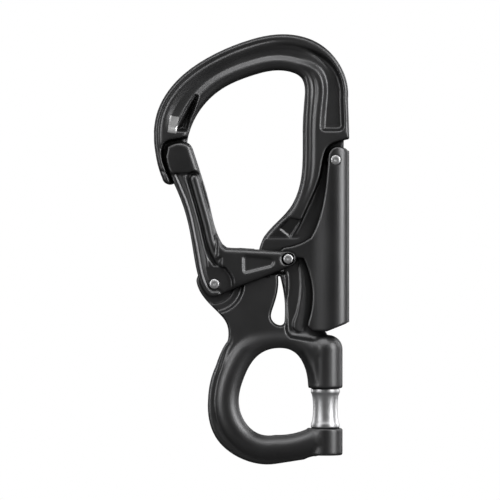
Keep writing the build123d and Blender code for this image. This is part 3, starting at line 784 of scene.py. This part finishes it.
forging = finish("black_forging", (0.122, 0.122, 0.124), (0.146, 0.146, 0.148), 0.42, 0.04)
PATCH_PLACE, PATCH_HALF = (-0.03928, -0.006, 0.11946), (0.0018, 0.003, 0.0034)
etched_patch(forging, PATCH_PLACE, PATCH_HALF, math.radians(9), 0.9)
lever = finish("black_lever", (0.12, 0.12, 0.122), (0.14, 0.14, 0.142), 0.4, 0.04)
rivet_steel = finish("rivet_steel", (0.74, 0.74, 0.75), (0.84, 0.84, 0.85), 0.42, 0.6, 0.1, 700.0)
turned = finish("turned_spacer", (0.6, 0.6, 0.61), (0.68, 0.68, 0.69), 0.42, 0.6, 0.12, 500.0)
bronze = finish("bush_bronze", (0.5, 0.34, 0.16), (0.6, 0.42, 0.2), 0.35, 0.8)
wire = finish("spring_wire", (0.4, 0.4, 0.41), (0.5, 0.5, 0.51), 0.35, 0.6)
blackened = finish("blackened_screw", (0.06, 0.06, 0.06), (0.07, 0.07, 0.07), 0.4, 0.1)

rivets = rivet_tree()
shown = (
    ("frame", forged_frame(), "hook_body", "black_forging", forging),
    ("gate", forged_gate(), "gate_arm", "black_gate", lever),
    ("trigger", forged_trigger(), "squeeze_trigger", "black_gate", lever),
    ("eye_spacer", turned_spacer(), "spacer", "turned_spacer", turned),
    *(
        (packed, rivet(rivets, name, packed, rivet_steel), body, "rivet_steel", rivet_steel)
        for packed, name, body in (
            ("gate_pivot_rivet", "gate_rivet", "gate_arm"),
            ("trigger_pivot_rivet", "trigger_rivet", "squeeze_trigger"),
            ("lock_stud_front", "front_stud", "gate_arm"),
            ("lock_stud_back", "back_stud", "gate_arm"),
        )
    ),
)
for name, made, body, slot, material in shown:
    made.data.materials.clear()
    made.data.materials.append(material)
    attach(made, body)
    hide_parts(name)

finishes = {
    "washer": rivet_steel,
    "insert": rivet_steel,
    "bush": bronze,
    "spring": wire,
    "screw": blackened,
}
for name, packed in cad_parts.items():
    for word, material in finishes.items():
        if word in name:
            packed.data.materials.clear()
            packed.data.materials.append(material)

# ---- studio -----------------------------------------------------------------------------
low, high = (np.array(corner) for corner in cad_box)
centre = (low + high) / 2


def seen_white(tree, other):
    """White to the camera and another closure to everything else."""
    seen = tree.nodes.new("ShaderNodeLightPath")
    white = node(tree, "ShaderNodeEmission", Color=(1, 1, 1, 1), Strength=1.0)
    pick = tree.nodes.new("ShaderNodeMixShader")
    tree.links.new(seen.outputs["Is Camera Ray"], pick.inputs[0])
    tree.links.new(other, pick.inputs[1])
    tree.links.new(white.outputs[0], pick.inputs[2])
    return pick.outputs[0]


floor_material = bpy.data.materials.new("pale_floor")
floor_material.use_nodes = True
tree = floor_material.node_tree
tree.nodes.clear()
grey = node(tree, "ShaderNodeBsdfDiffuse", Color=(0.1, 0.1, 0.1, 1))
out = tree.nodes.new("ShaderNodeOutputMaterial")
tree.links.new(seen_white(tree, grey.outputs[0]), out.inputs["Surface"])
side, level = 6.0, low[2] - 0.05
mesh = bpy.data.meshes.new("floor")
mesh.from_pydata(
    [(x * side, y * side, level) for x, y in ((-1, -1), (1, -1), (1, 1), (-1, 1))],
    [],
    [(0, 1, 2, 3)],
)
floor = bpy.data.objects.new("floor", mesh)
floor.data.materials.append(floor_material)
bpy.context.scene.collection.objects.link(floor)

# The room is brighter towards the front and the back than at the sides.
world = bpy.data.worlds.new("studio")
bpy.context.scene.world = world
world.use_nodes = True
tree = world.node_tree
background = tree.nodes["Background"]
direction = tree.nodes.new("ShaderNodeTexCoord")
parts = tree.nodes.new("ShaderNodeSeparateXYZ")
towards = tree.nodes.new("ShaderNodeMath")
towards.operation = "ABSOLUTE"
room = node(tree, "ShaderNodeMapRange")
for socket, value in (("From Min", 0.35), ("From Max", 1.0), ("To Min", 0.1), ("To Max", 0.72)):
    room.inputs[socket].default_value = value
tree.links.new(direction.outputs["Generated"], parts.inputs[0])
tree.links.new(parts.outputs["Y"], towards.inputs[0])
tree.links.new(towards.outputs[0], room.inputs["Value"])
tree.links.new(room.outputs["Result"], background.inputs["Strength"])
sky = tree.nodes["World Output"].inputs["Surface"]
tree.links.new(seen_white(tree, background.outputs[0]), sky)


def softbox(name, place, width, height, power):
    light = bpy.data.lights.new(name, "AREA")
    light.shape = "RECTANGLE"
    light.size, light.size_y, light.energy = width, height, power
    lamp = bpy.data.objects.new(name, light)
    lamp.location = place
    lamp.rotation_euler = Vector(centre - np.array(place)).to_track_quat("-Z", "Y").to_euler()
    bpy.context.scene.collection.objects.link(lamp)


for side, facing, power in (("front", -1, 1.0), ("back", 1, 0.8)):
    softbox("left_" + side, (-0.8, facing * 0.62, 0.22), 0.35, 1.1, 4.4 * power)
    softbox("right_" + side, (0.8, facing * 0.5, 0.25), 0.35, 1.1, 7.5 * power)
    softbox("top_" + side, (-0.1, facing * 0.55, 0.95), 1.1, 0.35, 4 * power)

# A long lens, straight in front; the object fills 0.859 of the view's height.
camera_data = bpy.data.cameras.new("camera")
camera_data.lens, camera_data.sensor_width, camera_data.clip_end = 300, 36, 100
camera = bpy.data.objects.new("camera", camera_data)
bpy.context.scene.collection.objects.link(camera)
distance = (high[2] - low[2]) / 0.859 * camera_data.lens / camera_data.sensor_width
camera.location = (centre[0] - 0.0006, -distance, centre[2] - 0.0002)
camera.rotation_euler = (math.radians(90), 0, 0)
bpy.context.scene.camera = camera
bpy.context.scene.view_settings.view_transform = "Standard"
